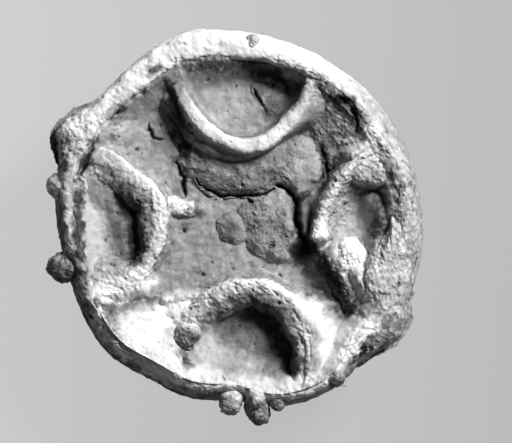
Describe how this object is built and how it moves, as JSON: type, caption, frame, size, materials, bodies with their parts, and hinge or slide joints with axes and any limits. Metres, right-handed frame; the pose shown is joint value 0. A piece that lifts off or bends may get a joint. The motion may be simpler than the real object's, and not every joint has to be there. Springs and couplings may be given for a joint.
{
  "type": "stamp seal",
  "caption": "Round cast stamp seal with a raised rim, arc walls that leave a hollow-sided cross, pellets, burial crust and a loop on the back.",
  "frame": {"origin": "middle of the box's base: the seal lies on its back, with the worn crown of the loop handle at z = 0", "axes": "+Z out of the sealing face, +Y towards the top of the picture, +X towards its right; the loop's strap lies in the XZ plane and its eye runs along Y"},
  "size_m": [0.0426, 0.0444, 0.0146],
  "materials": {
    "corroded_bronze": "matt, pitted corrosion over cast copper alloy",
    "worn_bronze": "matt, worn pale on the crests, granular",
    "pale_crust": "chalky, granular lime crust",
    "dark_crust": "rough, cracked, granular burial crust"
  },
  "bodies": {
    "root": {"seal_plate": "corroded_bronze", "rim_wall": "worn_bronze", "arc_wall_north": "worn_bronze", "arc_wall_west": "worn_bronze", "arc_wall_south": "worn_bronze", "arc_wall_east": "worn_bronze", "arc_wall_east_broken": "worn_bronze", "loop_handle": "corroded_bronze", "pellet_west_upper": "worn_bronze", "pellet_west_lower": "worn_bronze", "pellet_south_left": "worn_bronze", "pellet_south_middle": "worn_bronze", "pellet_south_upper": "worn_bronze", "pellet_south_small": "worn_bronze", "pellet_south_east": "worn_bronze", "pellet_north": "worn_bronze", "crust_corner_north_west": "dark_crust", "crust_edge_south_east": "dark_crust", "crust_sheet_north": "dark_crust", "crust_lobe_north": "dark_crust", "crust_centre": "dark_crust", "crust_bump": "dark_crust", "crust_north_east": "dark_crust", "crust_plateau_east": "pale_crust", "crust_bank_east": "pale_crust", "crust_flake_north": "dark_crust", "lump_east": "pale_crust", "nodule_west": "pale_crust", "nodule_south": "dark_crust", "nodule_south_small": "dark_crust"}
  },
  "joints": []
}
